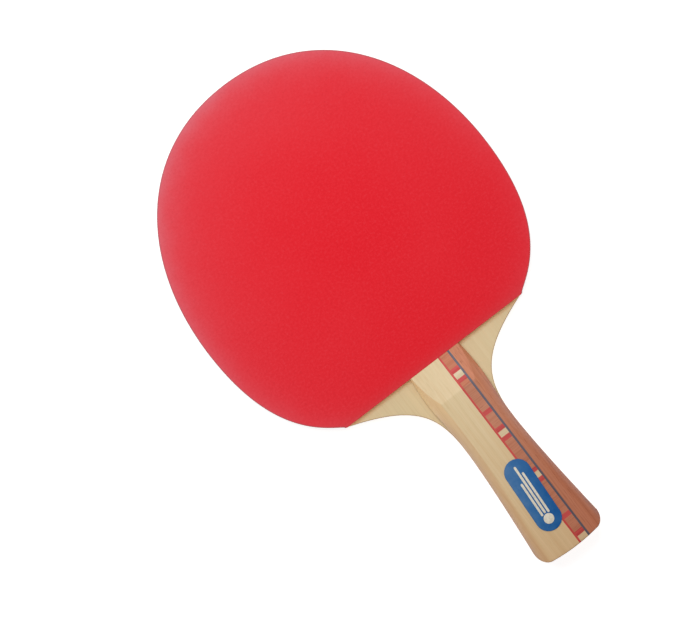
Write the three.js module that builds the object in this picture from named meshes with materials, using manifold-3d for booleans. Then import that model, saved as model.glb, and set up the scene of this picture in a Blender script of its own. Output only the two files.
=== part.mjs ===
// Table tennis paddle: a five-ply blade, a sponge and a rubber sheet on each face, and a
// laminated grip scale on each side of the handle with a band of inlaid blocks.
//
// Millimetres. The paddle lies flat with +Y from the handle to the tip of the head, +X to the
// right and +Z out of the front face. The origin is the centre of the bottom of its bounding
// box, on the flat of the back grip scale.
import * as THREE from 'three';
import { mergeVertices } from 'three/addons/utils/BufferGeometryUtils.js';
import Module from 'manifold-3d';

const wasm = await Module();
wasm.setup();

// Outline, seen from the front
const LENGTH = 248;
const TIP_Y = LENGTH / 2;
const BUTT_Y = -LENGTH / 2;
const HEAD_HALF_WIDTH = 75;
const WIDEST_Y = 36.5;
const SHOULDER_X = 47.1;
const SHOULDER_Y = -24.6; // the rubber's straight lower edge, level with the shoulders
const NECK_END_Y = -64;
const CURVE_STEPS = 18;

// Handle, as half widths
const WAIST = 12.75;
const FLARE = 4.6;
const FLARE_START_Y = -66;
const FLARE_POWER = 1.4;
const BULGE = 1.1; // the scales are a little wider where they lie on the neck
const BULGE_Y = -38.5;
const BULGE_REACH = 22;

// Butt: a slight crown between two rounded corners
const BUTT_CROWN = 0.8;
const CORNER_WIDTH = 5.3;
const CORNER_HEIGHT = 6;

// Layers, from the middle of the blade outwards
const CORE_PLY = 2.4;
const INNER_PLY = 1.1;
const OUTER_PLY = 0.7;
const SPONGE = 1.8;
const TOPSHEET = 1.7;
const GRIP_HEIGHT = 8.2;
const BLADE_HALF = CORE_PLY / 2 + INNER_PLY + OUTER_PLY;

// Grip scale: a flat back, a flat top with elliptical sides, and a ramp down to the rubber
const GRIP_GAP = 0.1; // between the scale's end and the rubber
const GRIP_TOP_Y = SHOULDER_Y - GRIP_GAP;
const GRIP_STEPS = 25;
const ROUND_HEIGHT = 6.2;
const ROUND_WIDTH = 3.8;
const ROUND_WIDTH_GROWTH = 0.9; // from the waist to the butt
const FULLNESS_NECK = 0.4; // 0 is a flat chamfer, 1 a quarter of an ellipse
const FULLNESS_BUTT = 0.8;
const ROUND_SEGMENTS = 6;
const RAMP_START_Y = -41.2;
const RAMP_END_HEIGHT = 3.5;

// Lamination across the scale, from the left edge to the right
const RED_VENEER_X = 1.85;
const RED_VENEER = 0.9;
const INLAY_BAND = 4;
const BLUE_VENEER = 0.95;
const INLAY_X = RED_VENEER_X + RED_VENEER;
const BLUE_VENEER_X = INLAY_X + INLAY_BAND;
const BROWN_STRIP_X = BLUE_VENEER_X + BLUE_VENEER;

// Inlaid blocks, from the neck to the butt: wood and length
const INLAY_BLOCKS = [
  ['brown', 7.2],
  ['red', 2.2],
  ['cream', 2.8],
  ['red', 1.9],
  ['brown', 15.6],
  ['red', 2.1],
  ['brown', 6.8],
  ['red', 2.1],
  ['cream', 2.6],
  ['red', 2.1],
  ['brown', 16.1],
  ['red', 2],
  ['cream', 2.8],
  ['red', 2.2],
  ['brown', 16.5],
  ['red', 2.2],
  ['brown', 7],
  ['red', 2.2],
  ['cream', 4],
];

// Badge on the front scale, with a ball and its speed lines standing on it
const BADGE_LENGTH = 34.9;
const BADGE_WIDTH = 11.7;
const BADGE_THICKNESS = 0.4;
const BADGE_X = -1.5;
const BADGE_Y = -95.5;
const BADGE_TILT = THREE.MathUtils.degToRad(-3.3);
const EMBLEM_THICKNESS = 0.15;
const BALL_RADIUS = 2.3;
const BALL_Y = -12;
const SPEED_LINE_WIDTH = 1.05;
const SPEED_LINES = [
  { x: -1.6, top: 6.8 },
  { x: 0, top: 14.4 },
  { x: 1.6, top: 10.6 },
];

const REACH = 200; // longer than the paddle, for cutting blocks

const MATERIALS = {
  core_ply: [0xd9bf92, 0.75],
  inner_ply: [0xc6a172, 0.75],
  outer_ply: [0xd6c295, 0.6],
  sponge: [0xe8a860, 0.95],
  red_rubber: [0xdd2a34, 0.55],
  black_rubber: [0x1b1b1d, 0.55],
  pale: [0xd8c396, 0.45],
  red: [0xc4474c, 0.45],
  blue: [0x62657a, 0.45],
  brown: [0xb87558, 0.45],
  cream: [0xdccfa8, 0.45],
  badge: [0x235a9c, 0.35],
  emblem: [0xe6dcc6, 0.4],
};

function materialOf(name) {
  const [color, roughness] = MATERIALS[name];
  return new THREE.MeshStandardMaterial({ color, roughness, metalness: 0 });
}

function makeMesh(name, geometry, material) {
  const mesh = new THREE.Mesh(geometry, materialOf(material));
  mesh.name = name;
  return mesh;
}

function toSolid(geometry) {
  geometry.deleteAttribute('normal');
  geometry.deleteAttribute('uv');
  const merged = mergeVertices(geometry);
  return new wasm.Manifold(new wasm.Mesh({
    numProp: 3,
    vertProperties: merged.attributes.position.array,
    triVerts: merged.index.array,
  }));
}

function toGeometry(solid) {
  const mesh = solid.getMesh();
  const geometry = new THREE.BufferGeometry();
  geometry.setAttribute('position', new THREE.BufferAttribute(mesh.vertProperties, 3));
  geometry.setIndex(new THREE.BufferAttribute(mesh.triVerts, 1));
  geometry.computeVertexNormals();
  return geometry;
}

function extrude(shape, depth, options = {}) {
  return new THREE.ExtrudeGeometry(shape, { depth, bevelEnabled: false, ...options });
}

function point(x, y) {
  return new THREE.Vector2(x, y);
}

// Swelling of the handle's sides near the neck
function bulge(y) {
  const fromNeck = Math.min(Math.abs(y - BULGE_Y) / BULGE_REACH, 1);
  return BULGE * Math.cos(fromNeck * Math.PI / 2) ** 2;
}

// Share of the way along the flare, which starts at the waist and ends at the butt
function alongFlare(y) {
  return Math.max((FLARE_START_Y - y) / (FLARE_START_Y - BUTT_Y), 0);
}

// Half width of the handle at a place along its length
function handleHalfWidth(y) {
  return WAIST + bulge(y) + FLARE * alongFlare(y) ** FLARE_POWER;
}

// Width of the scale's rounded side
function roundWidth(y) {
  return ROUND_WIDTH + bulge(y) + ROUND_WIDTH_GROWTH * alongFlare(y);
}

// How far in and up a point of the rounded side lies, as shares of its width and height
function roundedSide(turn, y) {
  const chord = turn / (Math.PI / 2);
  const along = THREE.MathUtils.smoothstep(-y, 50, 105);
  const fullness = THREE.MathUtils.lerp(FULLNESS_NECK, FULLNESS_BUTT, along);
  return {
    inwards: THREE.MathUtils.lerp(chord, 1 - Math.cos(turn), fullness),
    up: THREE.MathUtils.lerp(chord, Math.sin(turn), fullness),
  };
}

// Places along the handle where its sides are measured, shared by the scales and the plies
function handleStations() {
  const pitch = (GRIP_TOP_Y - BUTT_Y) / GRIP_STEPS;
  return Array.from({ length: GRIP_STEPS + 1 }, (_, i) => GRIP_TOP_Y - i * pitch);
}

// Right side of the head, from the tip to the shoulder
function headSide() {
  const upper = new THREE.CubicBezierCurve(
    point(0, TIP_Y),
    point(47.5, TIP_Y),
    point(HEAD_HALF_WIDTH, WIDEST_Y + 48.3),
    point(HEAD_HALF_WIDTH, WIDEST_Y),
  );
  const lower = new THREE.CubicBezierCurve(
    point(HEAD_HALF_WIDTH, WIDEST_Y),
    point(HEAD_HALF_WIDTH, WIDEST_Y - 48),
    point(SHOULDER_X + 5, SHOULDER_Y + 4.75),
    point(SHOULDER_X, SHOULDER_Y),
  );
  return [...upper.getPoints(CURVE_STEPS), ...lower.getPoints(CURVE_STEPS).slice(1)];
}

// Right side of the neck and handle, from the shoulder to the butt
function handleSide() {
  const neck = new THREE.CubicBezierCurve(
    point(SHOULDER_X, SHOULDER_Y),
    point(17.5, SHOULDER_Y - 10.15),
    point(WAIST, NECK_END_Y + 19.5),
    point(WAIST, NECK_END_Y),
  );
  const sides = handleStations().filter((y) => y < NECK_END_Y);
  return [
    ...neck.getPoints(CURVE_STEPS).slice(1),
    ...sides.map((y) => point(handleHalfWidth(y), y)),
  ];
}

// Closed outline from its right side, which starts at the tip
function mirroredShape(side) {
  const left = side.slice(1).reverse().map((p) => point(-p.x, p.y));
  return new THREE.Shape([...side, ...left].reverse());
}

// Everything past the butt's crown and its two rounded corners
function buttCutter() {
  const cornerY = BUTT_Y + BUTT_CROWN + CORNER_HEIGHT;
  const cornerX = handleHalfWidth(cornerY) - CORNER_WIDTH;
  const outside = cornerX + 20;
  const shape = new THREE.Shape();
  shape.moveTo(outside, cornerY + 5);
  shape.absellipse(cornerX, cornerY, CORNER_WIDTH, CORNER_HEIGHT, 0, -Math.PI / 2, true);
  shape.quadraticCurveTo(0, BUTT_Y - BUTT_CROWN, -cornerX, BUTT_Y + BUTT_CROWN);
  shape.absellipse(-cornerX, cornerY, CORNER_WIDTH, CORNER_HEIGHT, -Math.PI / 2, -Math.PI, true);
  shape.lineTo(-outside, cornerY + 5);
  shape.lineTo(-outside, BUTT_Y - 20);
  shape.lineTo(outside, BUTT_Y - 20);
  const geometry = extrude(shape, REACH, { curveSegments: 8 });
  return toSolid(geometry.translate(0, 0, -REACH / 2));
}

// Block that takes the slope off the neck end of a scale
function rampCutter() {
  const slope = (GRIP_HEIGHT - RAMP_END_HEIGHT) / (GRIP_TOP_Y - RAMP_START_Y);
  const pastEnd = GRIP_TOP_Y + 5;
  const shape = new THREE.Shape([
    point(RAMP_START_Y, GRIP_HEIGHT),
    point(pastEnd, GRIP_HEIGHT - slope * (pastEnd - RAMP_START_Y)),
    point(pastEnd, GRIP_HEIGHT + 5),
    point(RAMP_START_Y, GRIP_HEIGHT + 5),
  ]);
  const lengthways = new THREE.Matrix4().makeBasis(
    new THREE.Vector3(0, 1, 0),
    new THREE.Vector3(0, 0, 1),
    new THREE.Vector3(1, 0, 0),
  );
  const geometry = extrude(shape, REACH).translate(0, 0, -REACH / 2);
  return toSolid(geometry.applyMatrix4(lengthways));
}

// Whole grip scale before it is divided, lying on z = 0
function scaleBlank() {
  const flat = WAIST - ROUND_WIDTH;
  const edge = GRIP_HEIGHT - ROUND_HEIGHT;
  const section = new THREE.Shape();
  section.moveTo(-WAIST, 0);
  section.lineTo(WAIST, 0);
  section.absellipse(flat, edge, ROUND_WIDTH, ROUND_HEIGHT, 0, Math.PI / 2);
  section.absellipse(-flat, edge, ROUND_WIDTH, ROUND_HEIGHT, Math.PI / 2, Math.PI);
  const blank = extrude(section, GRIP_TOP_Y - BUTT_Y, {
    steps: GRIP_STEPS,
    curveSegments: ROUND_SEGMENTS,
  });
  blank.rotateX(Math.PI / 2).translate(0, GRIP_TOP_Y, 0);

  const place = blank.attributes.position;
  for (let i = 0; i < place.count; i += 1) {
    const x = place.getX(i);
    const y = place.getY(i);
    const rise = (place.getZ(i) - edge) / ROUND_HEIGHT;
    const turn = Math.max(Math.atan2(rise, (Math.abs(x) - flat) / ROUND_WIDTH), 0);
    const side = roundedSide(turn, y);
    place.setX(i, Math.sign(x) * (handleHalfWidth(y) - side.inwards * roundWidth(y)));
    if (turn > 0) {
      place.setZ(i, edge + side.up * ROUND_HEIGHT);
    }
  }
  return toSolid(blank).subtract(rampCutter()).subtract(buttCutter());
}

// Piece of the blank between two places across and two along
function pieceOf(blank, xLow, xHigh, yLow, yHigh) {
  const box = new THREE.BoxGeometry(xHigh - xLow, yHigh - yLow, REACH);
  box.translate((xLow + xHigh) / 2, (yLow + yHigh) / 2, 0);
  return toGeometry(blank.intersect(toSolid(box)));
}

function gripScale(side) {
  const blank = scaleBlank();
  const strip = (name, wood, xLow, xHigh) => makeMesh(
    `${side}_grip_${name}`,
    pieceOf(blank, xLow, xHigh, -REACH, REACH),
    wood,
  );
  const scale = new THREE.Group();
  scale.add(
    strip('pale_strip', 'pale', -REACH, RED_VENEER_X),
    strip('red_veneer', 'red', RED_VENEER_X, INLAY_X),
    strip('blue_veneer', 'blue', BLUE_VENEER_X, BROWN_STRIP_X),
    strip('brown_strip', 'brown', BROWN_STRIP_X, REACH),
  );
  let top = GRIP_TOP_Y;
  INLAY_BLOCKS.forEach(([wood, length], i) => {
    const name = `${side}_inlay_${String(i + 1).padStart(2, '0')}_${wood}`;
    const block = pieceOf(blank, INLAY_X, BLUE_VENEER_X, top - length, top);
    scale.add(makeMesh(name, block, wood));
    top -= length;
  });
  return scale;
}

function ply(name, thickness, middle, material) {
  const shape = mirroredShape([...headSide(), ...handleSide()]);
  const solid = toSolid(extrude(shape, thickness)).subtract(buttCutter());
  const mesh = makeMesh(name, toGeometry(solid), material);
  mesh.position.z = middle - thickness / 2;
  return mesh;
}

function blade() {
  const group = new THREE.Group();
  const innerMiddle = (CORE_PLY + INNER_PLY) / 2;
  const outerMiddle = BLADE_HALF - OUTER_PLY / 2;
  group.add(
    ply('core_ply', CORE_PLY, 0, 'core_ply'),
    ply('front_inner_ply', INNER_PLY, innerMiddle, 'inner_ply'),
    ply('front_outer_ply', OUTER_PLY, outerMiddle, 'outer_ply'),
    ply('back_inner_ply', INNER_PLY, -innerMiddle, 'inner_ply'),
    ply('back_outer_ply', OUTER_PLY, -outerMiddle, 'outer_ply'),
  );
  return group;
}

function rubber(side, sheetMaterial) {
  const shape = mirroredShape(headSide());
  const sponge = makeMesh(`${side}_sponge`, extrude(shape, SPONGE), 'sponge');
  const sheet = makeMesh(`${side}_topsheet`, extrude(shape, TOPSHEET), sheetMaterial);
  sheet.position.z = SPONGE;
  const group = new THREE.Group();
  group.add(sponge, sheet);
  return group;
}

function badge() {
  const radius = BADGE_WIDTH / 2;
  const straight = (BADGE_LENGTH - BADGE_WIDTH) / 2;
  const outline = new THREE.Shape();
  outline.absarc(0, straight, radius, 0, Math.PI);
  outline.absarc(0, -straight, radius, Math.PI, 2 * Math.PI);
  return makeMesh('badge_plate', extrude(outline, BADGE_THICKNESS), 'badge');
}

function emblem() {
  const ball = new THREE.Shape();
  ball.absarc(0, BALL_Y, BALL_RADIUS, 0, 2 * Math.PI);
  let solid = toSolid(extrude(ball, EMBLEM_THICKNESS));
  for (const { x, top } of SPEED_LINES) {
    const line = new THREE.BoxGeometry(SPEED_LINE_WIDTH, top - BALL_Y, EMBLEM_THICKNESS);
    line.translate(x, (top + BALL_Y) / 2, EMBLEM_THICKNESS / 2);
    solid = solid.add(toSolid(line));
  }
  return makeMesh('badge_emblem', toGeometry(solid), 'emblem');
}

// One face of the paddle, built up from the face of the blade
function face(side, sheetMaterial) {
  const group = new THREE.Group();
  group.add(rubber(side, sheetMaterial), gripScale(side));
  group.position.z = BLADE_HALF;
  return group;
}

const front = face('front', 'red_rubber');
const label = new THREE.Group();
const mark = emblem();
mark.position.z = BADGE_THICKNESS;
label.add(badge(), mark);
label.position.set(BADGE_X, BADGE_Y, GRIP_HEIGHT);
label.rotation.z = BADGE_TILT;
front.add(label);

const back = new THREE.Group();
back.add(face('back', 'black_rubber'));
back.rotation.y = Math.PI;

const paddle = new THREE.Group();
paddle.add(blade(), front, back);
paddle.position.z = BLADE_HALF + GRIP_HEIGHT;

export default paddle;
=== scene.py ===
"""Looks of a table tennis paddle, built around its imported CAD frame.

Lengths are in millimetres until a mesh is made, and the frame's axes are the paddle's own: +Y from
the handle to the tip of the head, +Z out of the front (red) face, +X to the right.
"""

import math

import bmesh
import bpy
from mathutils import Matrix, Vector, kdtree, noise


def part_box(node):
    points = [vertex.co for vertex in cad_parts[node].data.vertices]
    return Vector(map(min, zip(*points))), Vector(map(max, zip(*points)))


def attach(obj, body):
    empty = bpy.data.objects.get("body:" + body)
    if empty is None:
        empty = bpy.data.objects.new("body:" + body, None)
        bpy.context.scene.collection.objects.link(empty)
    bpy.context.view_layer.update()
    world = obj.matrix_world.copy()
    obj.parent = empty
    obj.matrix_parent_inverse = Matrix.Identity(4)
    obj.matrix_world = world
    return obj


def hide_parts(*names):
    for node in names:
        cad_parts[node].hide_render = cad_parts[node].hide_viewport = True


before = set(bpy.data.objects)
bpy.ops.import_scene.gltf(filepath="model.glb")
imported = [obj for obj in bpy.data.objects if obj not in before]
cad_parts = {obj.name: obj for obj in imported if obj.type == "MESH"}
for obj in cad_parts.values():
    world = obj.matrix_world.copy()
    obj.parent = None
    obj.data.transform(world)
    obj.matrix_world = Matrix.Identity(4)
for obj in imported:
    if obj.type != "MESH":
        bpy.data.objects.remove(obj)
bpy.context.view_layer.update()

MM = 0.001


def box(node):
    """Lowest and highest corner of a CAD node, in millimetres."""
    low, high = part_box(node)
    return low / MM, high / MM


# ---------------------------------------------------------------- sizes, from the frame
core_low, core_high = box("core_ply")
TIP_Y = core_high.y
BUTT_Y = core_low.y
HEAD_HALF_WIDTH = core_high.x
MID_Z = (core_low.z + core_high.z) / 2
BLADE_HALF = box("front_outer_ply")[1].z - MID_Z
SHOULDER_Y = box("front_sponge")[0].y
GRIP_TOP_Y = box("front_grip_pale_strip")[1].y
GRIP_HEIGHT = box("front_grip_pale_strip")[1].z - MID_Z - BLADE_HALF
RED_VENEER_X = box("front_grip_red_veneer")[0].x
INLAY_X = box("front_grip_red_veneer")[1].x
BLUE_VENEER_X = box("front_grip_blue_veneer")[0].x
BROWN_STRIP_X = box("front_grip_blue_veneer")[1].x

# Outline of the blade, as in the CAD. A bulge swells the handle by the neck, a flare by the butt
WIDEST_Y = 36.5
SHOULDER_X = 47.1
NECK_END_Y = -64
WAIST = 12.75
FLARE = 4.6
FLARE_START_Y = -66
FLARE_POWER = 1.4
BULGE = 1.1
BULGE_Y = -38.5
BULGE_REACH = 22
BUTT_CROWN = 0.8
CORNER_WIDTH = 5.3
CORNER_HEIGHT = 6
CORNER_Y = BUTT_Y + BUTT_CROWN + CORNER_HEIGHT

# Blade plies: distances between outline points, and how far their edges are eased
HEAD_PITCH = 1.2
HANDLE_PITCH = 0.8
GLUED_EDGE = 0.06
FACE_EDGE = 0.55

# Grip scale
ROUND_HEIGHT = 6.2
ROUND_WIDTH = 3.8
ROUND_WIDTH_GROWTH = 0.9
FULLNESS_NECK = 0.4
FULLNESS_BUTT = 0.8
RAMP_START_Y = -41.2
RAMP_END_HEIGHT = 3.5
RAMP_CREASE = 0.12
SIDE_STEPS = 18
FLAT_STEPS = 8
CREASE_MARGIN = 0.3
WARP_START_Y = -108
BUTT_EDGE_RADIUS = 0.6
NECK_EDGE_RADIUS = 0.1
GRIP_END_Y = SHOULDER_Y - 0.02

# Sponge: its wall is pulled in under the sheet, hollowed at half height and roughened
SPONGE_THICKNESS = box("front_sponge")[1].z - box("front_sponge")[0].z
SPONGE_ROWS = 7
SPONGE_PULL_IN = 0.18
SPONGE_HOLLOW = 0.1
SPONGE_SINK = 0.05
# How often the roughness turns in a millimetre, and how deep it goes
SPONGE_ROUGHNESS = ((2.3, 0.09), (0.7, 0.06))

# Rubber sheet
SHEET_THICKNESS = box("front_topsheet")[1].z - box("front_topsheet")[0].z
SHEET_SKIN = 0.85
PIMPLE_RADIUS = 0.8
PIMPLE_FOOT_RADIUS = 1.0
PIMPLE_PITCH = 2.15
PIMPLE_SIDES = 14
PIMPLE_BAND = 7
PIMPLE_FLARE_HEIGHT = 0.2
PIMPLE_LEAST_CUT = -0.7 * PIMPLE_RADIUS
PIMPLE_CLEAR = PIMPLE_FOOT_RADIUS + 0.05
PIMPLE_SETBACK = 0.04
FILLER_GAP = 0.5
FILLER_PITCH = 3
RIM_PITCH = 0.6
SHEET_EDGE_LOW = 0.03
SHEET_EDGE_TOP = 0.22
CUT_EDGE_SHARE = 0.25
SHEET_MIDDLE_Y = WIDEST_Y + 8
# Shares of the way from the sheet's edge to its middle at which its top has a ring of points
TOP_RINGS = (0.01, 0.025, 0.05, 0.085, 0.13, 0.19, 0.27, 0.4, 0.6, 0.8)
# Painted sheen on the sheet, a painted reflection of the bright surroundings, by its rim and
# further in: strength, and reach in millimetres
RIM_PAINTED_SHEEN = 0.15
RIM_PAINTED_SHEEN_REACH = 4.66
BROAD_PAINTED_SHEEN = 0.071
BROAD_PAINTED_SHEEN_REACH = 30.9

# Badge
BADGE_LENGTH = 34.9
BADGE_WIDTH = 11.7
BADGE_TILT = math.radians(-3.3)
BADGE_EDGE = 0.28
PRINT_EDGE = 0.06
PRINT_SUNK = 0.02
BALL_GAP = 0.45
BALL_RADIUS = 2.3
BALL_Y = -12
SPEED_LINE_WIDTH = 1.05
SPEED_LINES = ((-1.6, 6.8), (0, 14.4), (1.6, 10.6))

# Camera: straight down, with the handle towards the lower right
CAMERA_ROLL = math.radians(-37.5)
CAMERA_AIM = (-18.5, 12.7)
CAMERA_DISTANCE = 1200
VIEW_WIDTH = 297.15
SENSOR = 36

# Light
WORLD_STRENGTH = 0.4
KEY_PLACE = (0, 0.13, 0.44)
KEY_SIZE = 0.3
KEY_POWER = 1.44

# Floor: it meets the grip's flat and the tip of the head
FLOOR_TILT = math.atan2(box("back_topsheet")[0].z, TIP_Y - RAMP_START_Y)
FLOOR_DROP = 0.05
FLOOR_RADIUS = 6.0
FLOOR_GREY = 0.66
FLOOR_GLOW = 0.75

SHARP_ANGLE = math.radians(35)
FACE_TURN = Matrix.Rotation(math.pi, 4, "Y")
PADDLE_MIDDLE = Matrix.Translation((0, 0, MID_Z))


# ---------------------------------------------------------------- camera
def make_camera():
    camera = bpy.data.objects.new("camera", bpy.data.cameras.new("camera"))
    bpy.context.scene.collection.objects.link(camera)
    camera.data.sensor_width = SENSOR
    camera.data.lens = SENSOR * CAMERA_DISTANCE / VIEW_WIDTH
    rubber_face = box("front_topsheet")[1].z
    camera.location = Vector((*CAMERA_AIM, rubber_face + CAMERA_DISTANCE)) * MM
    camera.rotation_euler = (0, 0, CAMERA_ROLL)
    bpy.context.scene.camera = camera


# ---------------------------------------------------------------- outlines
def cubic(start, start_handle, end_handle, end, steps=200):
    """Points on a cubic Bezier curve."""
    points = []
    for i in range(steps + 1):
        t = i / steps
        s = 1 - t
        weights = (s**3, 3 * s * s * t, 3 * s * t * t, t**3)
        corners = (start, start_handle, end_handle, end)
        points.append(tuple(sum(w * c[k] for w, c in zip(weights, corners)) for k in (0, 1)))
    return points


def evenly(points, pitch):
    """The same line with its points about a pitch apart, both ends kept."""
    reach = [0.0]
    for a, b in zip(points, points[1:]):
        reach.append(reach[-1] + math.dist(a, b))
    count = max(1, round(reach[-1] / pitch))
    made, k = [], 0
    for i in range(count + 1):
        target = reach[-1] * i / count
        while k < len(reach) - 2 and reach[k + 1] < target:
            k += 1
        share = (target - reach[k]) / (reach[k + 1] - reach[k])
        a, b = points[k], points[k + 1]
        made.append((a[0] + (b[0] - a[0]) * share, a[1] + (b[1] - a[1]) * share))
    return made


def bulge(y):
    """How far the handle's sides swell near the neck."""
    from_neck = min(abs(y - BULGE_Y) / BULGE_REACH, 1)
    return BULGE * math.cos(from_neck * math.pi / 2) ** 2


def along_flare(y):
    """Share of the way from the start of the flare to the butt."""
    return max((FLARE_START_Y - y) / (FLARE_START_Y - BUTT_Y), 0)


def handle_half_width(y):
    return WAIST + bulge(y) + FLARE * along_flare(y) ** FLARE_POWER


CORNER_X = handle_half_width(CORNER_Y) - CORNER_WIDTH


def butt_y(x):
    """Where the butt's end lies, at a place across it."""
    across = abs(x)
    if across <= CORNER_X:
        return BUTT_Y + BUTT_CROWN * (across / CORNER_X) ** 2
    share = min((across - CORNER_X) / CORNER_WIDTH, 1)
    return CORNER_Y - CORNER_HEIGHT * math.sqrt(1 - share * share)


def head_side():
    """Right side of the head, from the tip to the shoulder."""
    upper = cubic(
        (0, TIP_Y),
        (47.5, TIP_Y),
        (HEAD_HALF_WIDTH, WIDEST_Y + 48.3),
        (HEAD_HALF_WIDTH, WIDEST_Y),
    )
    lower = cubic(
        (HEAD_HALF_WIDTH, WIDEST_Y),
        (HEAD_HALF_WIDTH, WIDEST_Y - 48),
        (SHOULDER_X + 5, SHOULDER_Y + 4.75),
        (SHOULDER_X, SHOULDER_Y),
    )
    return upper + lower[1:]


def handle_side():
    """Right side of the neck and handle, from the shoulder to the middle of the butt."""
    neck = cubic(
        (SHOULDER_X, SHOULDER_Y),
        (17.5, SHOULDER_Y - 10.15),
        (WAIST, NECK_END_Y + 19.5),
        (WAIST, NECK_END_Y),
    )
    grip_steps, corner_steps = 120, 40
    grip = []
    for i in range(1, grip_steps + 1):
        y = NECK_END_Y + (CORNER_Y - NECK_END_Y) * i / grip_steps
        grip.append((handle_half_width(y), y))
    corner, crown = [], []
    for i in range(1, corner_steps + 1):
        share = i / corner_steps
        turn = math.pi / 2 * share
        corner_x = CORNER_X + CORNER_WIDTH * math.cos(turn)
        corner.append((corner_x, CORNER_Y - CORNER_HEIGHT * math.sin(turn)))
        crown_x = CORNER_X * (1 - share)
        crown.append((crown_x, butt_y(crown_x)))
    return neck + grip + corner + crown


def mirrored(side):
    """Closed outline, anticlockwise, from its right side starting at the tip."""
    left = [(-x, y) for x, y in reversed(side[1:]) if abs(x) > 1e-6]
    return list(reversed(side)) + list(reversed(left))


def outline_normals(outline):
    """Outward direction at each point of an anticlockwise outline."""
    made = []
    count = len(outline)
    for i in range(count):
        (ax, ay), (bx, by) = outline[i - 1], outline[(i + 1) % count]
        length = math.hypot(bx - ax, by - ay)
        made.append(((by - ay) / length, -(bx - ax) / length))
    return made


def inset(outline, normals, distance):
    """The outline moved inwards."""
    return [(x - u * distance, y - v * distance) for (x, y), (u, v) in zip(outline, normals)]


# ---------------------------------------------------------------- meshes
def finish_piece(name, mesh_data, material, node, place=PADDLE_MIDDLE):
    """Makes an object from a bmesh in millimetres, which stands for a CAD node."""
    bmesh.ops.recalc_face_normals(mesh_data, faces=mesh_data.faces)
    mesh = bpy.data.meshes.new(name)
    mesh_data.to_mesh(mesh)
    mesh_data.free()
    mesh.transform(Matrix.Scale(MM, 4) @ place)
    mesh.shade_smooth()
    mesh.set_sharp_from_angle(angle=SHARP_ANGLE)
    mesh.materials.append(material)
    piece = bpy.data.objects.new(name, mesh)
    bpy.context.scene.collection.objects.link(piece)
    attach(piece, "root")
    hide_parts(node)
    return piece


def ring_wall(data, rings):
    """Quads between successive closed rings of vertices."""
    for low, high in zip(rings, rings[1:]):
        count = len(low)
        for i in range(count):
            k = (i + 1) % count
            data.faces.new((low[i], low[k], high[k], high[i]))


def add_ring(data, points, z):
    """Vertices at one height."""
    return [data.verts.new((x, y, z)) for x, y in points]


def eased(low, high, ease_low, ease_high, steps=3):
    """(inset, z) pairs up a wall whose two edges are rounded."""
    pairs = []
    for i in range(steps + 1):
        turn = math.pi / 2 * i / steps
        pairs.append((ease_low * (1 - math.sin(turn)), low + ease_low * (1 - math.cos(turn))))
    for i in range(steps + 1):
        turn = math.pi / 2 * i / steps
        pairs.append((ease_high * (1 - math.cos(turn)), high - ease_high * (1 - math.sin(turn))))
    return pairs


def close_stack(data, rings):
    """Wall and both ends of a stack of rings."""
    ring_wall(data, rings)
    data.faces.new(list(reversed(rings[0])))
    data.faces.new(rings[-1])


def slab(data, outline, pairs):
    """Closed plate whose wall follows (inset, z) pairs from its bottom to its top."""
    normals = outline_normals(outline)
    rings = [add_ring(data, inset(outline, normals, d), z) for d, z in pairs]
    close_stack(data, rings)
    return rings


# ---------------------------------------------------------------- blade
def make_plies():
    head, handle = evenly(head_side(), HEAD_PITCH), evenly(handle_side(), HANDLE_PITCH)
    outline = mirrored(head + handle[1:])
    outer_ply = wood(
        "outer_ply_grain",
        OUTER_TONES,
        "Y",
        0.15,
        # Painted shade on the outer ply's eased face edge and walls, a thin dark outline, and
        # painted light beside the rubber's edge
        facet_shading=(0.7, 0.58, 0.47),
        wall=(0.85, 0.78, 0.7),
        edge_light=0.85,
    )
    woods = {
        "core_ply": wood("core_ply_grain", CORE_TONES, "Y", 0.6),
        "inner_ply": wood("inner_ply_grain", INNER_TONES, "X", 0.6),
        "outer_ply": outer_ply,
    }
    for name, slot in (
        ("core_ply", "core_ply"),
        ("front_inner_ply", "inner_ply"),
        ("back_inner_ply", "inner_ply"),
        ("front_outer_ply", "outer_ply"),
        ("back_outer_ply", "outer_ply"),
    ):
        low, high = box(name)
        ease_low = FACE_EDGE if name == "back_outer_ply" else GLUED_EDGE
        ease_high = FACE_EDGE if name == "front_outer_ply" else GLUED_EDGE
        data = bmesh.new()
        slab(data, outline, eased(low.z - MID_Z, high.z - MID_Z, ease_low, ease_high))
        finish_piece(f"{name}_wood", data, woods[slot], name)


# ---------------------------------------------------------------- rubber
def rubber_outline():
    """The head's outline, cut straight across at the shoulders."""
    side = evenly(head_side(), RIM_PITCH)
    edge = evenly([(SHOULDER_X, SHOULDER_Y), (0, SHOULDER_Y)], RIM_PITCH)
    return mirrored(side + edge[1:])


def on_straight_edge(y):
    return y < SHOULDER_Y + 0.1


def store_rim_distance(mesh, outline):
    """Keeps how far each vertex is from the curved rim, in millimetres, for the materials."""
    curved = [(x, y) for x, y in outline if not on_straight_edge(y)]
    tree = kdtree.KDTree(len(curved))
    for i, (x, y) in enumerate(curved):
        tree.insert((x * MM, y * MM, 0), i)
    tree.balance()
    layer = mesh.attributes.new("rim_distance", "FLOAT", "POINT")
    for vertex, item in zip(mesh.vertices, layer.data):
        item.value = tree.find((vertex.co.x, vertex.co.y, 0))[2] / MM


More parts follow.
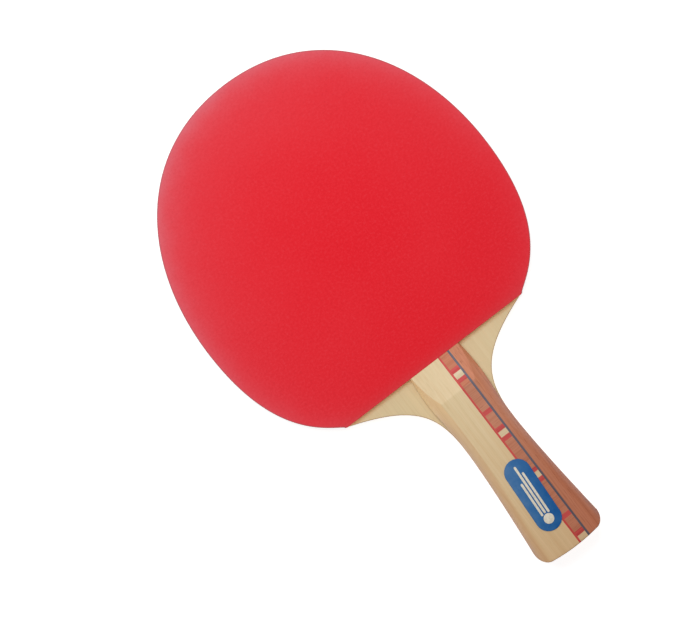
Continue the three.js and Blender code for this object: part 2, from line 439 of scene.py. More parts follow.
def make_sponge(side, place, outline, foam):
    """Foam layer with a rough, slightly hollow wall."""
    data = bmesh.new()
    pairs = []
    for i in range(SPONGE_ROWS + 1):
        share = i / SPONGE_ROWS
        hollow = SPONGE_HOLLOW * math.sin(share * math.pi)
        pairs.append((SPONGE_PULL_IN + hollow, SPONGE_THICKNESS * share))
    rings = slab(data, outline, pairs)
    for ring in rings[1:-1]:
        for vertex in ring:
            rough = sum(noise.noise(vertex.co * often) * deep for often, deep in SPONGE_ROUGHNESS)
            centre = Vector((0, WIDEST_Y, vertex.co.z))
            vertex.co += (centre - vertex.co).normalized() * (SPONGE_SINK + rough)
    piece = finish_piece(f"{side}_sponge_foam", data, foam, f"{side}_sponge", place)


def clip_to_edge(polygon, point, normal):
    """The part of a convex polygon on the inner side of a line."""
    made = []
    for i, a in enumerate(polygon):
        b = polygon[(i + 1) % len(polygon)]
        da = (a[0] - point[0]) * normal[0] + (a[1] - point[1]) * normal[1]
        db = (b[0] - point[0]) * normal[0] + (b[1] - point[1]) * normal[1]
        if da <= 0:
            made.append(a)
        if (da < 0) != (db < 0) and abs(da - db) > 1e-9:
            share = da / (da - db)
            made.append((a[0] + (b[0] - a[0]) * share, a[1] + (b[1] - a[1]) * share))
    return made


def add_pimples(data, outline, low, high):
    """Short pimples between the sponge and the sheet, near the rim where they can be seen."""
    normals = outline_normals(outline)
    tree = kdtree.KDTree(len(outline))
    for i, (x, y) in enumerate(outline):
        tree.insert((x, y, 0), i)
    tree.balance()
    row_pitch = PIMPLE_PITCH * math.sqrt(3) / 2
    rows = int((TIP_Y - SHOULDER_Y) / row_pitch) + 2
    columns = int(HEAD_HALF_WIDTH / PIMPLE_PITCH) + 2
    for row in range(rows):
        y = SHOULDER_Y + row * row_pitch
        for column in range(-columns, columns + 1):
            x = (column + (row % 2) / 2) * PIMPLE_PITCH
            _, index, distance = tree.find((x, y, 0))
            edge, normal = outline[index], normals[index]
            depth = (edge[0] - x) * normal[0] + (edge[1] - y) * normal[1]
            if distance > PIMPLE_BAND or depth < PIMPLE_LEAST_CUT:
                continue
            if depth < PIMPLE_CLEAR:
                polygon = cut_circle(circle(x, y, PIMPLE_RADIUS, PIMPLE_SIDES), edge, normal)
                if len(polygon) > 2:
                    close_stack(data, [add_ring(data, polygon, z) for z in (low, high)])
                continue
            sections = (
                (PIMPLE_RADIUS, low),
                (PIMPLE_RADIUS, high - PIMPLE_FLARE_HEIGHT),
                (PIMPLE_FOOT_RADIUS, high),
            )
            close_stack(
                data, [add_ring(data, circle(x, y, r, PIMPLE_SIDES), z) for r, z in sections]
            )


def cut_circle(points, edge, normal):
    """What the knife has left, just inside the rim, of a pimple's section."""
    inner = (edge[0] - normal[0] * PIMPLE_SETBACK, edge[1] - normal[1] * PIMPLE_SETBACK)
    return clip_to_edge(points, inner, normal)


def make_topsheet(side, place, outline, material):
    """Rubber skin, the pimples under it near its rim, and a plain filler further in."""
    top = SPONGE_THICKNESS + SHEET_THICKNESS
    skin_low = top - SHEET_SKIN
    data = bmesh.new()
    normals = outline_normals(outline)
    rings = []
    for d, z in eased(skin_low, top, SHEET_EDGE_LOW, SHEET_EDGE_TOP, steps=4):
        rim = inset(outline, normals, d)
        cut = inset(outline, normals, d * CUT_EDGE_SHARE)
        points = [c if on_straight_edge(y) else r for r, c, (_, y) in zip(rim, cut, outline)]
        rings.append(add_ring(data, points, z))
    centre = Vector((0, SHEET_MIDDLE_Y, top))
    top_edge = rings[-1]
    for share in TOP_RINGS:
        rings.append([data.verts.new(v.co.lerp(centre, share)) for v in top_edge])
    middle = data.verts.new(centre)
    ring_wall(data, rings)
    data.faces.new(list(reversed(rings[0])))
    last = rings[-1]
    for i, vertex in enumerate(last):
        data.faces.new((vertex, last[(i + 1) % len(last)], middle))
    add_pimples(data, outline, SPONGE_THICKNESS, skin_low + SHEET_EDGE_LOW)
    inner = inset(outline, normals, PIMPLE_BAND + FILLER_GAP)
    filler = evenly(inner + inner[:1], FILLER_PITCH)[:-1]
    slab(data, filler, [(0, SPONGE_THICKNESS), (0, skin_low)])
    piece = finish_piece(f"{side}_rubber_sheet", data, material, f"{side}_topsheet", place)
    store_rim_distance(piece.data, outline)


# ---------------------------------------------------------------- grip scales
def smooth_min(a, b, width):
    """The lower of two heights, with the crease between them eased."""
    h = max(width - abs(a - b), 0) / width
    return min(a, b) - h * h * width / 4


def round_width(y):
    """How wide the scale's rounded side is, seen from above."""
    return ROUND_WIDTH + bulge(y) + ROUND_WIDTH_GROWTH * along_flare(y)


def lerp(a, b, share):
    return a + (b - a) * share


def smoothstep(value, low, high):
    share = min(max((value - low) / (high - low), 0), 1)
    return share * share * (3 - 2 * share)


def rounded_side(turn, y):
    """How far in and up a point of the rounded side lies, as shares of its width and height."""
    chord = turn / (math.pi / 2)
    fullness = lerp(FULLNESS_NECK, FULLNESS_BUTT, smoothstep(-y, 50, 105))
    inwards = lerp(chord, 1 - math.cos(turn), fullness)
    return inwards, lerp(chord, math.sin(turn), fullness)


def turn_at(rise, y):
    """The turn at which the rounded side has come up by a share of its height."""
    low, high = 0, math.pi / 2
    for _ in range(40):
        middle = (low + high) / 2
        if rounded_side(middle, y)[1] < rise:
            low = middle
        else:
            high = middle
    return high


def top_height(y):
    """Height of the scale's flat or ramp above the blade."""
    slope = (GRIP_HEIGHT - RAMP_END_HEIGHT) / (GRIP_TOP_Y - RAMP_START_Y)
    return smooth_min(GRIP_HEIGHT, GRIP_HEIGHT - slope * (y - RAMP_START_Y), RAMP_CREASE)


def stations(y_low, y_high):
    """Places along the handle, dense at the ramp's crease, at the butt and at the neck's end."""
    marks = [y_high, y_low]
    marks += [GRIP_END_Y - d for d in (0.06, 0.13, 0.25)]
    marks += [RAMP_START_Y + (GRIP_TOP_Y - RAMP_START_Y) * (i / 26) ** 2 for i in range(27)]
    marks += [RAMP_START_Y - d for d in (0.15, 0.4, 0.9)]
    marks += [RAMP_START_Y - i * 1.6 for i in range(1, 100)]
    marks += [BUTT_Y + d for d in (0.06, 0.15, 0.3, 0.5, 0.8, 1.2)]
    inside = sorted({round(y, 3) for y in marks if y_low <= y <= y_high}, reverse=True)
    return [y for i, y in enumerate(inside) if i == 0 or inside[i - 1] - y > 0.02]


def warped(x, y):
    """The place of a section's point once the sections near the butt bend to its crown."""
    if y >= WARP_START_Y:
        return y
    share = (WARP_START_Y - y) / (WARP_START_Y - BUTT_Y)
    return WARP_START_Y + share * (butt_y(x) - WARP_START_Y)


def section_y(y):
    """Where the handle's half width is taken: the sections near the butt end at its corners."""
    if y >= WARP_START_Y:
        return y
    share = (WARP_START_Y - y) / (WARP_START_Y - BUTT_Y)
    return WARP_START_Y + share * (CORNER_Y - WARP_START_Y)


def edge_drop(distance, radius):
    """How far a rounded edge has fallen, at a distance from the edge."""
    left = min(max(radius - distance, 0), radius)
    return radius - math.sqrt(radius**2 - left**2)


def columns_at(y, x_low, x_high):
    """(x, height, upward share of the normal) from x_low to x_high. None is the handle's side."""
    width_y = section_y(y)
    half, round_here, top = handle_half_width(width_y), round_width(width_y), top_height(y)
    edge = GRIP_HEIGHT - ROUND_HEIGHT
    full_turn = turn_at((top - edge) / ROUND_HEIGHT, width_y)
    side = []
    for i in range(SIDE_STEPS + 1):
        turn = full_turn * i / SIDE_STEPS
        inwards, rise = rounded_side(turn, width_y)
        side.append((half - inwards * round_here, edge + rise * ROUND_HEIGHT, math.sin(turn)))
    crease_x = side[-1][0]
    if x_low is None:
        flat = flat_columns(-crease_x, x_high, top)
        return [(-x, z, up) for x, z, up in side[:-1]] + flat
    if x_high is None:
        flat = flat_columns(-crease_x, -x_low, top)
        return [(-x, z, up) for x, z, up in reversed(flat)] + list(reversed(side[:-1]))
    return [(x_low + (x_high - x_low) * i / 3, top, 1) for i in range(4)]


def flat_columns(start, end, height):
    """Columns over the flat, with one close to the crease at its start."""
    near = start + CREASE_MARGIN
    xs = [start, near]
    xs += [near + (end - near) * i / FLAT_STEPS for i in range(1, FLAT_STEPS + 1)]
    return [(x, height, 1) for x in xs]


def scale_piece(name, side, place, x_low, x_high, y_low, y_high, material):
    """One strip, veneer or block of a grip scale, cut from the scale's one surface."""
    data = bmesh.new()
    rows = []
    for y in stations(y_low, y_high):
        tops, feet = [], []
        for x, height, up in columns_at(y, x_low, x_high):
            here = warped(x, y)
            fall = edge_drop(here - butt_y(x), BUTT_EDGE_RADIUS)
            fall += edge_drop(GRIP_END_Y - here, NECK_EDGE_RADIUS)
            tops.append(data.verts.new((x, here, BLADE_HALF + height - fall * up)))
            feet.append(data.verts.new((x, here, BLADE_HALF)))
        rows.append((tops, feet))
    for (tops, feet), (next_tops, next_feet) in zip(rows, rows[1:]):
        for i in range(len(tops) - 1):
            data.faces.new((tops[i], tops[i + 1], next_tops[i + 1], next_tops[i]))
            data.faces.new((feet[i + 1], feet[i], next_feet[i], next_feet[i + 1]))
        for i in (0, -1):
            data.faces.new((tops[i], next_tops[i], next_feet[i], feet[i]))
    for tops, feet in (rows[0], rows[-1]):
        for i in range(len(tops) - 1):
            data.faces.new((tops[i], feet[i], feet[i + 1], tops[i + 1]))
    node = f"{side}_{name}"
    finish_piece(f"{node}_wood", data, material, node, place)


def make_grip_scale(side, place, woods):
    strips = (
        ("grip_pale_strip", None, RED_VENEER_X, "pale_wood"),
        ("grip_red_veneer", RED_VENEER_X, INLAY_X, "red_veneer"),
        ("grip_blue_veneer", BLUE_VENEER_X, BROWN_STRIP_X, "blue_veneer"),
        ("grip_brown_strip", BROWN_STRIP_X, None, "brown_wood"),
    )
    for name, x_low, x_high, slot in strips:
        scale_piece(name, side, place, x_low, x_high, BUTT_Y, GRIP_END_Y, woods[slot])
    blocks = sorted(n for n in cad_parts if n.startswith(f"{side}_inlay_"))
    for node in blocks:
        low, high = box(node)
        y_low = BUTT_Y if node == blocks[-1] else low.y
        y_high = GRIP_END_Y if node == blocks[0] else high.y
        slot = f"{node.rsplit('_', 1)[1]}_inlay"
        name = node.removeprefix(f"{side}_")
        scale_piece(name, side, place, INLAY_X, BLUE_VENEER_X, y_low, y_high, woods[slot])


# ---------------------------------------------------------------- badge
def circle(x, y, radius, sides):
    turns = [2 * math.pi * i / sides for i in range(sides)]
    return [(x + radius * math.cos(turn), y + radius * math.sin(turn)) for turn in turns]


def stadium(length, width, steps=40):
    """Upright bar with round ends."""
    radius, straight = width / 2, (length - width) / 2
    points = []
    for middle, start in ((straight, 0), (-straight, math.pi)):
        for i in range(steps + 1):
            turn = start + math.pi * i / steps
            points.append((radius * math.cos(turn), middle + radius * math.sin(turn)))
    return points


def make_badge():
    low, high = box("badge_plate")
    middle = Vector(((low.x + high.x) / 2, (low.y + high.y) / 2, low.z))
    place = Matrix.Translation(middle) @ Matrix.Rotation(BADGE_TILT, 4, "Z")
    thickness = high.z - low.z
    data = bmesh.new()
    slab(data, stadium(BADGE_LENGTH, BADGE_WIDTH), eased(0, thickness, 0, BADGE_EDGE, steps=5))
    finish_piece("badge_plate_film", data, badge_material(), "badge_plate", place)

    print_top = box("badge_emblem")[1].z - low.z
    walls = eased(thickness - PRINT_SUNK, print_top, 0, PRINT_EDGE)
    data = bmesh.new()
    slab(data, circle(0, BALL_Y, BALL_RADIUS, 64), walls)
    for x, top in SPEED_LINES:
        bottom = BALL_Y + math.sqrt((BALL_RADIUS + BALL_GAP) ** 2 - x * x)
        line = stadium(top - bottom, SPEED_LINE_WIDTH, steps=8)
        slab(data, [(x + u, (top + bottom) / 2 + v) for u, v in line], walls)
    finish_piece("badge_emblem_print", data, emblem_material(), "badge_emblem", place)


# ---------------------------------------------------------------- materials
def linear(red, green, blue):
    """A colour given as 0 to 255 on screen, as the shader's own numbers."""
    made = []
    for value in (red, green, blue):
        v = value / 255
        made.append(v / 12.92 if v <= 0.04045 else ((v + 0.055) / 1.055) ** 2.4)
    return (*made, 1.0)


class Graph:
    """A material's node graph, built a node at a time."""

    def __init__(self, name):
        self.material = bpy.data.materials.new(name)
        self.material.use_nodes = True
        self.tree = self.material.node_tree
        self.tree.nodes.clear()
        self.shader = self.add("ShaderNodeBsdfPrincipled")
        output = self.add("ShaderNodeOutputMaterial")
        self.tree.links.new(self.shader.outputs[0], output.inputs["Surface"])

    def add(self, kind, inputs=None, **settings):
        node = self.tree.nodes.new(kind)
        for key, value in settings.items():
            setattr(node, key, value)
        for key, value in (inputs or {}).items():
            self.put(node.inputs[key], value)
        return node

    def put(self, socket, value):
        if isinstance(value, bpy.types.NodeSocket):
            self.tree.links.new(value, socket)
        else:
            socket.default_value = value

    def set(self, **inputs):
        for key, value in inputs.items():
            self.put(self.shader.inputs[key.replace("_", " ")], value)

    def coords(self, scale=(1, 1, 1)):
        """The paddle's own coordinates in metres, multiplied on each axis."""
        source = self.add("ShaderNodeTexCoord").outputs["Object"]
        return self.add("ShaderNodeMapping", {"Vector": source, "Scale": scale}).outputs[0]

    def place(self):
        """The paddle's own coordinates in metres, by axis."""
        return self.add("ShaderNodeSeparateXYZ", {"Vector": self.coords()}).outputs

    def noise(self, scale, detail=3.0, roughness=0.5, distortion=0.0):
        inputs = {
            "Vector": self.coords(scale),
            "Scale": 1.0,
            "Detail": detail,
            "Roughness": roughness,
            "Distortion": distortion,
        }
        return self.add("ShaderNodeTexNoise", inputs).outputs["Fac"]

    def ramp(self, factor, *stops):
        """Colour ramp through (place, colour) stops."""
        node = self.add("ShaderNodeValToRGB", {"Fac": factor})
        elements = node.color_ramp.elements
        for i, (place, colour) in enumerate(stops):
            element = elements[i] if i < 2 else elements.new(place)
            element.position = place
            element.color = colour
        return node.outputs["Color"]

    def facing(self):
        """Which way the surface faces, by axis."""
        source = self.add("ShaderNodeTexCoord").outputs["Normal"]
        return self.add("ShaderNodeSeparateXYZ", {"Vector": source}).outputs

    def span(self, value, low, high, to_low=0.0, to_high=1.0):
        """A value carried from one range to another, and held inside it."""
        inputs = {
            "Value": value,
            "From Min": low,
            "From Max": high,
            "To Min": to_low,
            "To Max": to_high,
        }
        return self.add("ShaderNodeMapRange", inputs).outputs["Result"]

    def mix(self, factor, a, b, blend="MIX"):
        node = self.add("ShaderNodeMix", data_type="RGBA", blend_type=blend)
        self.put(node.inputs[0], factor)
        self.put(node.inputs[6], a)
        self.put(node.inputs[7], b)
        return node.outputs[2]

    def maths(self, operation, *values):
        node = self.add("ShaderNodeMath", operation=operation)
        for socket, value in zip(node.inputs, values):
            self.put(socket, value)
        return node.outputs[0]

    def fading(self, distance, reach, strength):
        """A strength that falls off with distance."""
        shrunk = self.maths("DIVIDE", distance, -reach)
        return self.maths("MULTIPLY", self.maths("EXPONENT", shrunk), strength)

    def bump(self, height, distance, strength, normal=None):
        """Shading normal of a relief whose depth is in millimetres."""
        inputs = {"Height": height, "Distance": distance * MM, "Strength": strength}
        if normal:
            inputs["Normal"] = normal
        return self.add("ShaderNodeBump", inputs).outputs["Normal"]


# Tints that the woods are multiplied by, the painted light beside the rubber's edge, and the plies'
# tones. Apart from the end grain's own colour, the tints are painted shade and painted light
BUTT_SHADE = (0.94, 0.81, 0.74, 1)
BUTT_SIDE_SHADE = (0.84, 0.8, 0.78, 1)
END_GRAIN = (0.74, 0.61, 0.53, 1)
NECK_SIDE_LIGHT = (1.18, 1.16, 1.1, 1)
SIDE_SHADE = (0.8, 0.7, 0.68, 1)
NECK_STEEP_LIGHT = (1.25, 1.28, 1.25, 1)
EDGE_LIGHT_COLOUR = linear(255, 205, 145)
CORE_TONES = (linear(226, 203, 160), linear(214, 187, 140), linear(190, 156, 108))
INNER_TONES = (linear(204, 166, 118), linear(184, 142, 96), linear(150, 108, 70))
OUTER_TONES = (linear(220, 199, 158), linear(216, 195, 153), linear(209, 187, 145))
# Grip woods by slot: grain's axis, pores, painted light and shade on the ramp that faces the tip,
# pale, middle and dark tones
GRIP_WOODS = {
    "pale_wood": ("Y", 0.15, (1.04, 1.04, 1.06), (219, 198, 159), (213, 191, 149), (205, 180, 137)),
    "brown_wood": ("Y", 0.5, (1.15, 1.07, 0.99), (192, 128, 97), (180, 114, 84), (158, 94, 67)),
    "red_veneer": ("Y", 0.3, (1.07, 0.92, 0.9), (206, 84, 77), (194, 70, 65), (170, 54, 49)),
    "blue_veneer": ("Y", 0.3, (1.04, 1.04, 1.05), (101, 98, 110), (86, 84, 97), (68, 65, 78)),
    "red_inlay": ("X", 0.3, (0.99, 0.68, 0.69), (204, 84, 80), (192, 70, 68), (166, 54, 51)),
    "brown_inlay": ("X", 0.35, (1.06, 0.85, 0.72), (194, 131, 102), (183, 118, 89), (164, 101, 74)),
    "cream_inlay": ("X", 0.2, (1.01,) * 3, (218, 200, 167), (208, 188, 151), (192, 168, 130)),
}


def grain_scale(along, across, length):
    """Coordinate scales for grain that runs along X or Y, drawn out on the ramps too."""
    sizes = {"X": across, "Y": across, "Z": across * 0.2}
    sizes[along] = length
    return tuple(sizes.values())


def wood(
    name,
    tones,
    along,
    pores,
    facet_shading=(1, 1, 1),
    wall=(0.87, 0.77, 0.69),
    ramp_shading=(1, 1, 1),
    grip=False,
    edge_light=0.0,
):
    """Sanded and lacquered wood. tones are its pale, middle and dark colours.

    The rounded sides and the upright walls take painted shade, and the grip's ramp, which faces the
    tip, painted light and shade of its own. The handle is painted darker towards its butt, the
    sloped sides most, as painted shade for the light's falloff. On the grip the sloped sides by the
    neck take painted light, and the steepest sides take painted shade along the handle and painted
    light by the neck. A last tint, when asked for, paints the neck lighter beside the rubber's
    edge: painted light against the rubber's shadow.
    """
    pale, middle, dark = tones
    g = Graph(name)
    bands = g.noise(grain_scale(along, 420, 6), detail=3, distortion=0.3)
    fibres = g.noise(grain_scale(along, 2300, 38), detail=4, roughness=0.6)
    drift = g.noise(grain_scale(along, 60, 9), detail=1)
    tone = g.maths("MULTIPLY_ADD", bands, 0.4, g.maths("MULTIPLY", fibres, 0.35))
    tone = g.maths("MULTIPLY_ADD", drift, 0.25, tone)
    colour = g.ramp(tone, (0.36, dark), (0.5, middle), (0.64, pale))
    hue = g.noise(grain_scale(along, 640, 7), detail=2)
    warm = g.ramp(hue, (0.38, (1, 0.96, 0.93, 1)), (0.62, (1, 1.0, 1.0, 1)))
    colour = g.mix(0.6, colour, warm, "MULTIPLY")
    pore_noise = g.noise(grain_scale(along, 4200, 150), detail=1)
    pore = g.span(pore_noise, 0.64, 0.74)
    colour = g.mix(g.maths("MULTIPLY", pore, pores), colour, dark, "MULTIPLY")
    facing = g.facing()
    up = g.maths("ABSOLUTE", facing["Z"])
    # Painted shade: the rounded sides and the upright walls are darker by which way they face
    on_side = g.span(up, 0.95, 0.8)
    colour = g.mix(on_side, colour, (*facet_shading, 1), "MULTIPLY")
    colour = g.mix(g.span(up, 0.3, 0.05), colour, (*wall, 1), "MULTIPLY")
    colour = g.mix(g.span(facing["Y"], -0.45, -0.9), colour, END_GRAIN, "MULTIPLY")
    y = g.place()["Y"]
    # Painted shade: darker towards the butt, standing in for the light's falloff along the handle,
    # and darker still on the sloped sides there
    wear_and_shade = g.span(y, -0.035, BUTT_Y * MM)
    colour = g.mix(wear_and_shade, colour, BUTT_SHADE, "MULTIPLY")
    butt_side_shade = g.maths("MULTIPLY", g.maths("MULTIPLY", wear_and_shade, on_side), 0.7)
    colour = g.mix(butt_side_shade, colour, BUTT_SIDE_SHADE, "MULTIPLY")
    # Painted light and shade on the ramp, which faces the tip, a tint for each wood
    ramp = g.span(facing["Y"], 0.08, 0.26)
    colour = g.mix(ramp, colour, (*ramp_shading, 1), "MULTIPLY")
    if grip:
        # Painted light on the sloped sides by the neck, against the shade there; the steepest sides
        # take painted shade along the handle and painted light by the neck
        neck_side_light = g.maths("MULTIPLY", g.span(y, -0.06, -0.032), on_side)
        colour = g.mix(neck_side_light, colour, NECK_SIDE_LIGHT, "MULTIPLY")
        steep_side_shading = g.mix(g.span(y, -0.048, -0.04), SIDE_SHADE, NECK_STEEP_LIGHT)
        colour = g.mix(g.span(up, 0.6, 0.2), colour, steep_side_shading, "MULTIPLY")
    # Painted light on the neck beside the rubber's edge: a warm lightening that fills the rubber's
    # shadow and stands in for red light bounced off it
    if edge_light:
        from_rubber = g.maths("SUBTRACT", SHOULDER_Y * MM, y)
        past_edge = g.span(from_rubber, -0.0003, 0.0)
        edge_light_mask = g.span(from_rubber, 0.0, 0.002, edge_light, 0.0)
        colour = g.mix(g.maths("MULTIPLY", past_edge, edge_light_mask), colour, EDGE_LIGHT_COLOUR)
    g.set(Base_Color=colour)
    g.set(Roughness=g.span(fibres, 0.3, 0.7, 0.56, 0.42))
    relief = g.maths("SUBTRACT", g.maths("MULTIPLY", fibres, 0.6), pore)
    g.set(Normal=g.bump(relief, 0.03, 0.4))
    g.set(Specular_IOR_Level=0.3)
    return g.material


def make_woods():
    """The grip's woods, by material slot."""
    made = {}
    for slot, (along, pores, ramp_shading, *tones) in GRIP_WOODS.items():
        pale = slot == "pale_wood"
        made[slot] = wood(
            f"{slot}_grain",
            [linear(*tone) for tone in tones],
            along,
            pores,
            # Painted shade on the pale wood's rounded sides; the other grip woods' sides take a
            # little painted light
            facet_shading=(0.995, 0.905, 0.87) if pale else (1.03, 1.02, 1.01),
            ramp_shading=ramp_shading,
            grip=True,
        )
    return made


def rubber_material(name, colour, wear_and_shade, dust_and_sheen, edge_colour, rough):
    """Smooth matt rubber, of another colour in a thin line at its rim; the red is painted darker
    beside the handle, as painted shade for the straight edge.

    A painted sheen, strongest at the rim, grows towards the tip and the left side: a painted
    reflection of the bright surroundings. The same colour also gives a few real specks and
    mottling.
    """
    g = Graph(name)
    patches = g.noise((22, 22, 22), detail=4, roughness=0.6)
    fine = g.noise((1500, 1500, 1500), detail=3, roughness=0.7)
    base = g.mix(g.span(patches, 0.4, 0.7, 0.0, 0.12), colour, wear_and_shade)

    rim = g.add("ShaderNodeAttribute", attribute_name="rim_distance").outputs["Fac"]
    # Painted sheen: a painted reflection of the bright surroundings, lightest at the rim and
    # further in towards the tip and the left side
    near = g.fading(rim, RIM_PAINTED_SHEEN_REACH, RIM_PAINTED_SHEEN)
    broad = g.fading(rim, BROAD_PAINTED_SHEEN_REACH, BROAD_PAINTED_SHEEN)
    place = g.place()
    along = g.span(place["Y"], SHOULDER_Y * MM, TIP_Y * MM, 0.28, 1.4)
    across = g.span(place["X"], -HEAD_HALF_WIDTH * MM, HEAD_HALF_WIDTH * MM, 0.11, -0.43)
    weight = g.maths("MAXIMUM", g.maths("ADD", along, across), 0.25)
    cloud = g.span(g.noise((90, 90, 90), detail=4, roughness=0.6), 0.3, 0.7, 0.85, 1.15)
    sheen_amount = g.maths("MULTIPLY", g.maths("ADD", near, broad), g.maths("MULTIPLY", weight, cloud))
    base = g.mix(sheen_amount, base, dust_and_sheen)

    # Painted shade on the red sheet: darker within a few millimetres of the straight edge by the
    # handle, standing in for that edge's shade; the black sheet turns a little lighter there
    from_edge = g.maths("SUBTRACT", place["Y"], SHOULDER_Y * MM)
    base = g.mix(g.fading(from_edge, 0.0025, 0.21), base, edge_colour)
    # Another colour in a thin line at the curved rim: darker on the red sheet, lighter on the black
    at_rim = g.span(rim, 0.1, 0.7, 0.5, 0.0)
    base = g.mix(at_rim, base, edge_colour)
    speck = g.span(g.noise((2400, 2400, 2400), detail=2), 0.7, 0.76)
    base = g.mix(g.maths("MULTIPLY", speck, 0.05), base, dust_and_sheen)
    mottle = g.noise((900, 900, 900), detail=4, roughness=0.75)
    base = g.mix(g.span(mottle, 0.5, 0.8, 0.0, 0.05), base, dust_and_sheen)
    base = g.mix(g.span(mottle, 0.5, 0.2, 0.0, 0.34), base, (0.6, 0.5, 0.55, 1), "MULTIPLY")
    g.set(Base_Color=base)
    g.set(Roughness=g.span(patches, 0.3, 0.7, rough - 0.05, rough + 0.07))
    pitch = 1000 / PIMPLE_PITCH
    dimples = g.add(
        "ShaderNodeTexVoronoi",
        {"Vector": g.coords((1, 1, 0)), "Scale": pitch, "Randomness": 0.0},
    ).outputs["Distance"]
    soft = g.bump(g.span(dimples, 0.0, 0.7), 0.003, 0.4)
    g.set(Normal=g.bump(fine, 0.01, 0.5, normal=soft))
    g.set(Specular_IOR_Level=0.11)
    return g.material


def sponge_material():
    """Orange foam with fine open cells, painted darker in them: painted shade in the cells."""
    g = Graph("sponge_foam")
    cells = g.add("ShaderNodeTexVoronoi", {"Vector": g.coords(), "Scale": 3600.0})
    pits = g.span(cells.outputs["Distance"], 0.15, 0.5)
    tint = g.noise((160, 160, 400), detail=3)
    colour = g.ramp(tint, (0.3, linear(214, 150, 84)), (0.7, linear(232, 174, 104)))
    # Painted shade: the colour is darker where the cells sink
    colour = g.mix(pits, g.mix(1.0, colour, linear(205, 170, 150), "MULTIPLY"), colour)
    g.set(Base_Color=colour, Roughness=0.9, Specular_IOR_Level=0.2)
    g.set(Normal=g.bump(pits, 0.08, 0.8))
    return g.material


def badge_material():
    """Blue printed film, painted lighter towards its upper left: a painted reflection of the light
    from there.
    """
    g = Graph("badge_film")
    place = g.place()
    # Painted light: lighter towards the upper left, a painted reflection of the light from there
    up = g.span(place["Y"], -0.112, -0.08)
    left = g.span(place["X"], 0.004, -0.008)
    painted_light_upper_left = g.maths("MULTIPLY_ADD", left, 0.6, g.maths("MULTIPLY", up, 0.4))
    cloud = g.noise((260, 260, 260), detail=4)
    mixed = g.maths("ADD", painted_light_upper_left, g.span(cloud, 0.3, 0.7, -0.15, 0.15))
    deep = (0.006, 0.088, 0.283, 1)
    middle = (0.026, 0.128, 0.322, 1)
    pale = (0.082, 0.187, 0.362, 1)
    blue = g.ramp(mixed, (0.1, deep), (0.95, pale), (0.55, middle))
    scuffs = g.noise((900, 260, 900), detail=5, roughness=0.7)
    colour = g.mix(g.span(scuffs, 0.5, 0.8, 0.0, 0.12), blue, pale)
    g.set(Base_Color=colour)
    g.set(Roughness=g.span(scuffs, 0.35, 0.7, 0.4, 0.55))
    g.set(Normal=g.bump(scuffs, 0.01, 0.5), Specular_IOR_Level=0.15)
    return g.material


def emblem_material():
    """Off-white print, a little worn."""
    g = Graph("badge_print")
    wear_and_shade = g.noise((1200, 1200, 1200), detail=4, roughness=0.7)
    g.set(Base_Color=g.ramp(wear_and_shade, (0.3, linear(196, 186, 166)), (0.6, linear(222, 213, 194))))
    g.set(Roughness=g.span(wear_and_shade, 0.3, 0.7, 0.45, 0.6), Normal=g.bump(wear_and_shade, 0.01, 0.4))
    return g.material


# ---------------------------------------------------------------- stage
def floor_material():
    """Near-white floor that glows a little and is clear from below."""
    material = bpy.data.materials.new("floor_paint")
    material.use_nodes = True
    tree = material.node_tree
    tree.nodes.clear()
    paint = tree.nodes.new("ShaderNodeBsdfDiffuse")
    paint.inputs["Color"].default_value = (FLOOR_GREY, FLOOR_GREY, FLOOR_GREY, 1)
    glow = tree.nodes.new("ShaderNodeEmission")
    glow.inputs["Strength"].default_value = FLOOR_GLOW
    lit = tree.nodes.new("ShaderNodeAddShader")
    clear = tree.nodes.new("ShaderNodeBsdfTransparent")
    side = tree.nodes.new("ShaderNodeNewGeometry")
    choose = tree.nodes.new("ShaderNodeMixShader")
    output = tree.nodes.new("ShaderNodeOutputMaterial")
    tree.links.new(paint.outputs[0], lit.inputs[0])
    tree.links.new(glow.outputs[0], lit.inputs[1])
    tree.links.new(side.outputs["Backfacing"], choose.inputs[0])
    tree.links.new(lit.outputs[0], choose.inputs[1])
    tree.links.new(clear.outputs[0], choose.inputs[2])
    tree.links.new(choose.outputs[0], output.inputs[0])
    return material


def make_floor():
    """The paddle rests on its grip and on the tip of the head, so the floor tilts to meet both."""
    data = bmesh.new()
    bmesh.ops.create_circle(data, cap_ends=True, segments=96, radius=FLOOR_RADIUS)
    mesh = bpy.data.meshes.new("floor")
    data.to_mesh(mesh)
    data.free()
    mesh.materials.append(floor_material())
    floor = bpy.data.objects.new("floor", mesh)
    bpy.context.scene.collection.objects.link(floor)
    floor.location = Vector((0, RAMP_START_Y, -FLOOR_DROP)) * MM
    floor.rotation_euler = (FLOOR_TILT, 0, 0)


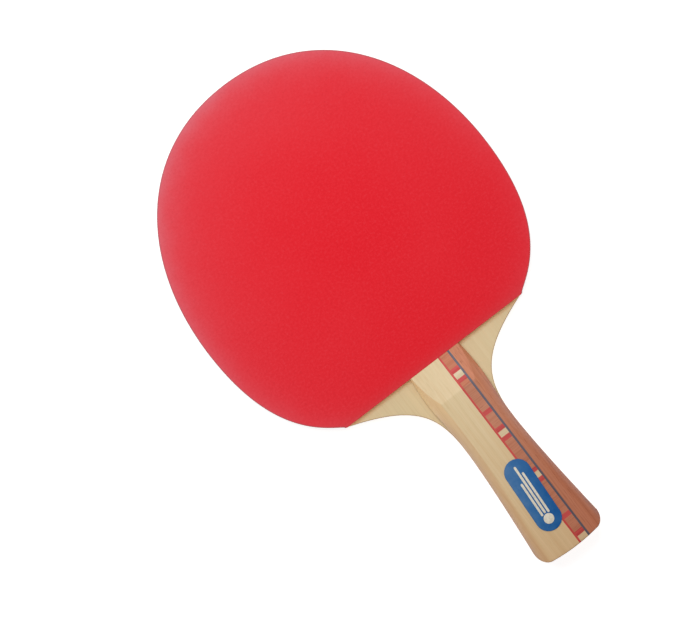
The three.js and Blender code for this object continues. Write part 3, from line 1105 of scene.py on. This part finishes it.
def make_lights():
    """A soft even sky, seen as the same white as the floor, and one soft light over the head."""
    world = bpy.data.worlds.new("studio")
    bpy.context.scene.world = world
    world.use_nodes = True
    tree = world.node_tree
    background = tree.nodes["Background"]
    background.inputs["Color"].default_value = (1, 1, 1, 1)
    seen = tree.nodes.new("ShaderNodeLightPath").outputs["Is Camera Ray"]
    strength = tree.nodes.new("ShaderNodeMapRange")
    strength.inputs["To Min"].default_value = WORLD_STRENGTH
    tree.links.new(seen, strength.inputs["Value"])
    tree.links.new(strength.outputs["Result"], background.inputs["Strength"])
    light = bpy.data.lights.new("key_light", "AREA")
    light.shape = "DISK"
    light.size = KEY_SIZE
    light.energy = KEY_POWER
    lamp = bpy.data.objects.new("key_light", light)
    bpy.context.scene.collection.objects.link(lamp)
    lamp.location = KEY_PLACE
    lamp.visible_camera = False
    bpy.context.scene.view_settings.view_transform = "Standard"


# ---------------------------------------------------------------- the paddle
make_camera()
make_lights()
make_floor()
make_plies()
red_rubber = rubber_material(
    "red_rubber_skin",
    colour=(0.71, 0.0042, 0.0135, 1),
    wear_and_shade=(0.71, 0.009, 0.019, 1),
    dust_and_sheen=(0.5, 0.4, 0.48, 1),
    edge_colour=(0.3, 0.115, 0.12, 1),
    rough=0.55,
)
black_rubber = rubber_material(
    "black_rubber_skin",
    colour=(0.011, 0.011, 0.012, 1),
    wear_and_shade=(0.02, 0.02, 0.021, 1),
    dust_and_sheen=(0.2, 0.2, 0.2, 1),
    edge_colour=(0.06, 0.055, 0.05, 1),
    rough=0.5,
)
foam = sponge_material()
rim_outline = rubber_outline()
front_place = PADDLE_MIDDLE @ Matrix.Translation((0, 0, BLADE_HALF))
back_place = PADDLE_MIDDLE @ FACE_TURN @ Matrix.Translation((0, 0, BLADE_HALF))
for side_name, face_place, skin, skin_slot in (
    ("front", front_place, red_rubber, "red_rubber"),
    ("back", back_place, black_rubber, "black_rubber"),
):
    make_sponge(side_name, face_place, rim_outline, foam)
    make_topsheet(side_name, face_place, rim_outline, skin)
grip_woods = make_woods()
make_grip_scale("front", PADDLE_MIDDLE, grip_woods)
make_grip_scale("back", PADDLE_MIDDLE @ FACE_TURN, grip_woods)
make_badge()
